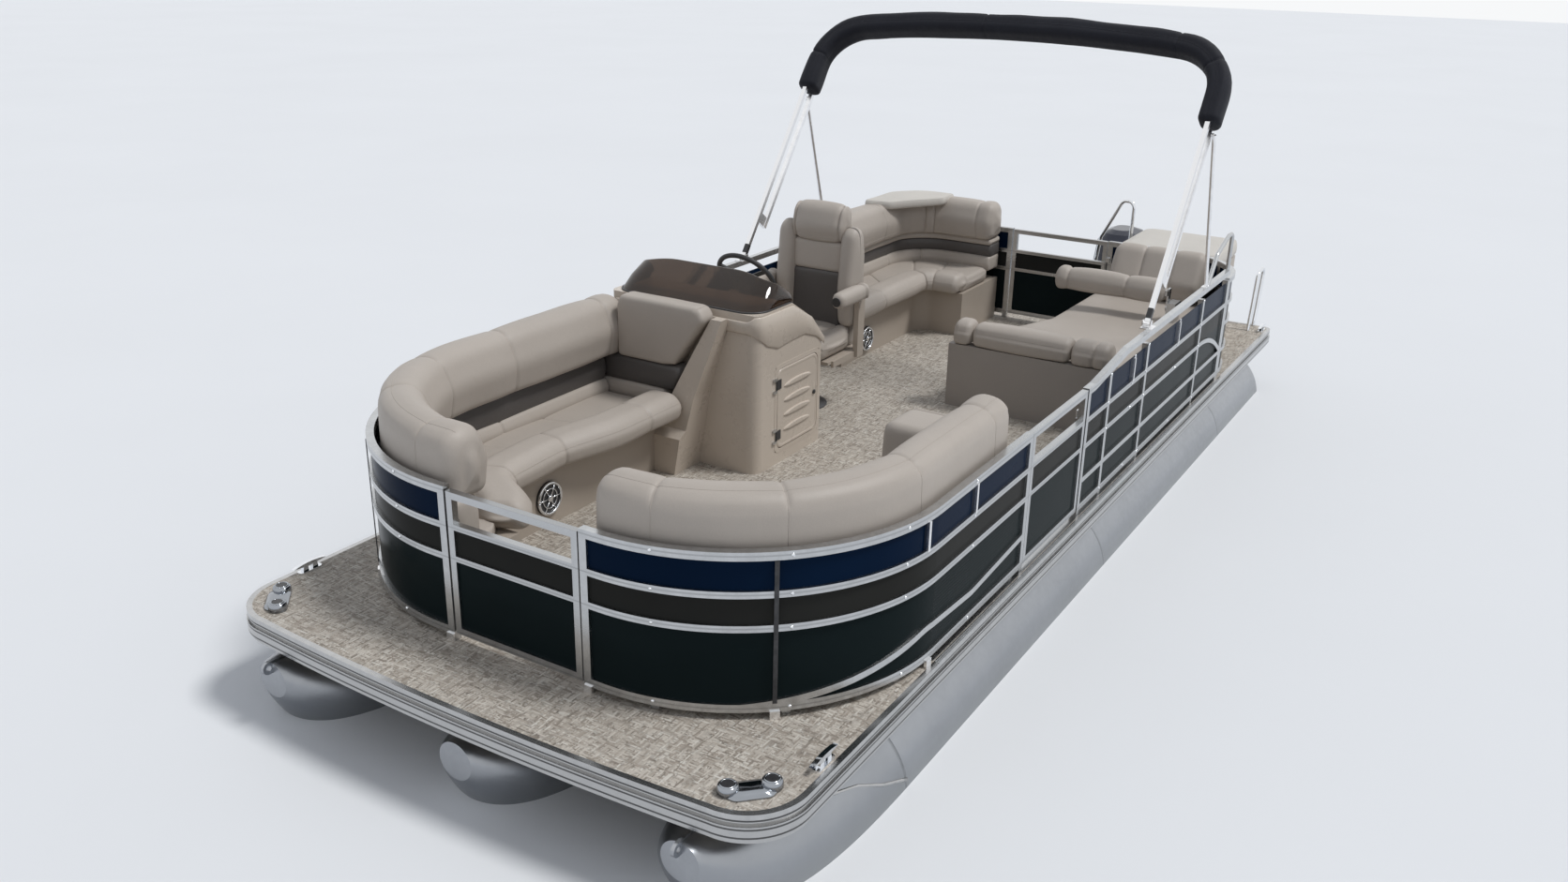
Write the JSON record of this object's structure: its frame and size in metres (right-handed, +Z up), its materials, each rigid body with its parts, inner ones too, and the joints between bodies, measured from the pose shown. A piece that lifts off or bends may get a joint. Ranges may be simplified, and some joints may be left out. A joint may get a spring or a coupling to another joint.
{
  "type": "pontoon boat",
  "caption": "Pontoon boat with railed deck, bow and aft lounges, helm console, swivel chair, gates, stowed folding top and tilting outboard motor.",
  "frame": {"origin": "on the centreline amidships at the waterline, where the hull floats at rest", "axes": "+X towards the bow, +Y to port, +Z up"},
  "size_m": [7.4953, 2.59, 3.264],
  "materials": {
    "aluminium_tube": "brushed",
    "rail": "bright brushed",
    "casting": "polished",
    "deck_weave": "woven",
    "panel": "gloss",
    "vinyl": "satin",
    "moulding": "gloss",
    "smoke": "smoked",
    "black": "satin",
    "cowl": "gloss",
    "canvas": "woven",
    "dark_metal": "satin"
  },
  "bodies": {
    "hull": {"pontoon_tubes": "aluminium_tube", "tube_risers": "aluminium_tube", "deck_cross_members": "aluminium_tube", "motor_pod": "aluminium_tube", "deck_panel": "deck_weave", "rub_rail": "rail", "bow_corner_castings": "casting", "mooring_cleats": "casting", "bow_fences": "rail", "stern_fences": "rail", "side_fences": "rail", "bow_fence_panels": "panel", "stern_fence_panels": "panel", "side_fence_panels": "panel", "hinge_brackets": "rail", "bow_lounge_bases": "moulding", "bow_lounge_seats": "vinyl", "bow_lounge_backs": "vinyl", "bow_lounge_end_cushions": "vinyl", "starboard_lounge_side_panel": "moulding", "helm_console": "moulding", "console_windscreen": "smoke", "helm_chair_pedestal": "rail", "aft_lounge_base": "moulding", "aft_lounge_seat": "vinyl", "aft_lounge_back": "vinyl", "aft_lounge_corner_pad": "vinyl", "chaise_base": "moulding", "chaise_seat": "vinyl", "chaise_rolls": "vinyl", "swingback_hub": "black", "sunpad_base": "moulding", "sunpad_cushion": "vinyl", "speakers": "black", "outboard_clamp_bracket": "dark_metal", "stern_handrails": "rail", "side_arch_rail": "rail", "top_frame_mounts": "rail"},
    "bow_gate": {"bow_gate_frame": "rail", "bow_gate_panels": "panel"},
    "port_gate": {"port_gate_frame": "rail", "port_gate_panels": "panel"},
    "stern_gate": {"stern_gate_frame": "rail", "stern_gate_panels": "panel"},
    "console_door": {"console_door": "moulding"},
    "steering_wheel": {"steering_wheel": "black"},
    "helm_chair": {"helm_chair_frame": "moulding", "helm_chair_seat": "vinyl", "helm_chair_back": "vinyl", "helm_chair_arms": "vinyl"},
    "swingback": {"swingback_bar": "vinyl"},
    "outboard_swivel": {"outboard_swivel_bracket": "dark_metal"},
    "outboard": {"outboard_leg": "dark_metal", "outboard_cowl": "cowl"},
    "propeller": {"propeller": "dark_metal"},
    "folding_top": {"top_frame_struts": "rail", "top_boot": "canvas", "top_frame_braces": "rail"}
  },
  "joints": [
    {"name": "bow_gate_hinge", "type": "hinge", "parent": "hull", "child": "bow_gate", "pos_m": [2.912, -0.312, 0.76], "axis": [0, 0, 1], "range_deg": [0, 88]},
    {"name": "port_gate_hinge", "type": "hinge", "parent": "hull", "child": "port_gate", "pos_m": [0.551, 1.219, 0.76], "axis": [0, 0, -1], "range_deg": [0, 90]},
    {"name": "stern_gate_hinge", "type": "hinge", "parent": "hull", "child": "stern_gate", "pos_m": [-2.468, 0.324, 0.76], "axis": [0, 0, 1], "range_deg": [0, 75]},
    {"name": "console_door_hinge", "type": "hinge", "parent": "hull", "child": "console_door", "pos_m": [0.786, -0.245, 0.71], "axis": [0, 0, -1], "range_deg": [0, 100]},
    {"name": "steering_wheel_turn", "type": "hinge", "parent": "hull", "child": "steering_wheel", "pos_m": [0.37, -0.7, 1.245], "axis": [-0.8192, 0, 0.5736], "range_deg": [-450, 450]},
    {"name": "helm_chair_swivel", "type": "hinge", "parent": "hull", "child": "helm_chair", "pos_m": [-0.101, -0.63, 0.7], "axis": [0, 0, 1], "range_deg": [-90, 90]},
    {"name": "swingback_pivot", "type": "hinge", "parent": "hull", "child": "swingback", "pos_m": [-1.795, 0.948, 0.86], "axis": [0, 1, 0], "range_deg": [-45, 45]},
    {"name": "outboard_tilt", "type": "hinge", "parent": "hull", "child": "outboard_swivel", "pos_m": [-3.7, 0, 0.282], "axis": [0, 1, 0], "range_deg": [0, 50]},
    {"name": "outboard_steer", "type": "hinge", "parent": "outboard_swivel", "child": "outboard", "pos_m": [-3.78, 0, 0.2], "axis": [0, 0, 1], "range_deg": [-30, 30]},
    {"name": "propeller_spin", "type": "hinge", "parent": "outboard", "child": "propeller", "pos_m": [-4.111, 0, -0.536], "axis": [1, 0, 0], "continuous": true},
    {"name": "folding_top_hinge", "type": "hinge", "parent": "hull", "child": "folding_top", "pos_m": [-0.39, 0, 1.137], "axis": [0, 1, 0], "range_deg": [0, 35]}
  ],
  "couplings": [
    {"joint": "steering_wheel_turn", "follows": "outboard_steer", "ratio": 15}
  ]
}
